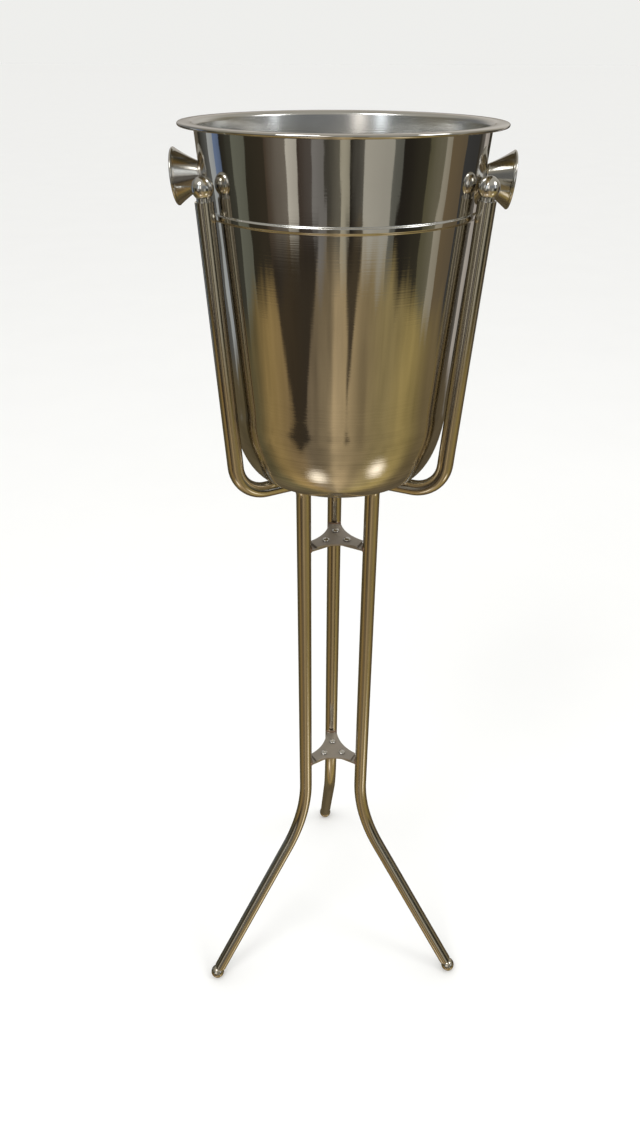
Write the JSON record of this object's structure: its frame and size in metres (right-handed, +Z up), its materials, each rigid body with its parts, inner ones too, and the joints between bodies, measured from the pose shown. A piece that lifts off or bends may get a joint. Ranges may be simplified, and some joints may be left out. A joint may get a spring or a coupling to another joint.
{
  "type": "ice bucket",
  "caption": "Polished steel ice bucket with flared side knobs, standing in the ball-tipped arms of a folding tube stand with splayed feet.",
  "frame": {"origin": "on the floor, at the centre of the object's bounding box; the stand's own axis is 23.0 mm in front of it", "axes": "+Z up; one foot points along +Y; the other two point to the front left and front right; -Y is the front"},
  "size_m": [0.2658, 0.2591, 0.82],
  "materials": {
    "bucket_steel": "mirror polished stainless steel outside, satin inside",
    "tube_steel": "polished stainless steel tube",
    "knob_steel": "polished, turned",
    "plate_steel": "satin sheet with heat tint at the welds",
    "fastener_steel": "bright, domed"
  },
  "bodies": {
    "hub": {"upper_plate": "plate_steel", "lower_plate": "plate_steel", "rivet_upper_left": "fastener_steel", "rivet_upper_right": "fastener_steel", "rivet_upper_back": "fastener_steel", "rivet_lower_left": "fastener_steel", "rivet_lower_right": "fastener_steel", "rivet_lower_back": "fastener_steel"},
    "leg_left": {"leg_tube_left": "tube_steel", "ball_left": "knob_steel", "foot_left": "knob_steel", "lug_upper_left": "plate_steel", "lug_lower_left": "plate_steel"},
    "leg_right": {"leg_tube_right": "tube_steel", "ball_right": "knob_steel", "foot_right": "knob_steel", "lug_upper_right": "plate_steel", "lug_lower_right": "plate_steel"},
    "leg_back": {"leg_tube_back": "tube_steel", "ball_back": "knob_steel", "foot_back": "knob_steel", "lug_upper_back": "plate_steel", "lug_lower_back": "plate_steel"},
    "bucket": {"bucket_shell": "bucket_steel", "knob_left": "knob_steel", "knob_right": "knob_steel", "knob_screw_left": "fastener_steel", "knob_screw_right": "fastener_steel"}
  },
  "joints": [
    {"name": "leg_left_fold", "type": "hinge", "parent": "hub", "child": "leg_left", "pos_m": [-0.00892, -0.02815, 0.3865], "axis": [0, 0, 1], "range_deg": [-20, 20]},
    {"name": "leg_right_fold", "type": "hinge", "parent": "hub", "child": "leg_right", "pos_m": [0.00892, -0.02815, 0.3865], "axis": [0, 0, 1], "range_deg": [-20, 14]},
    {"name": "leg_back_fold", "type": "hinge", "parent": "hub", "child": "leg_back", "pos_m": [0, -0.0127, 0.3865], "axis": [0, 0, 1], "range_deg": [-20, 20]},
    {"name": "bucket_lift", "type": "slide", "parent": "hub", "child": "bucket", "axis": [0, 0, 1], "range_m": [0, 0.26]}
  ]
}
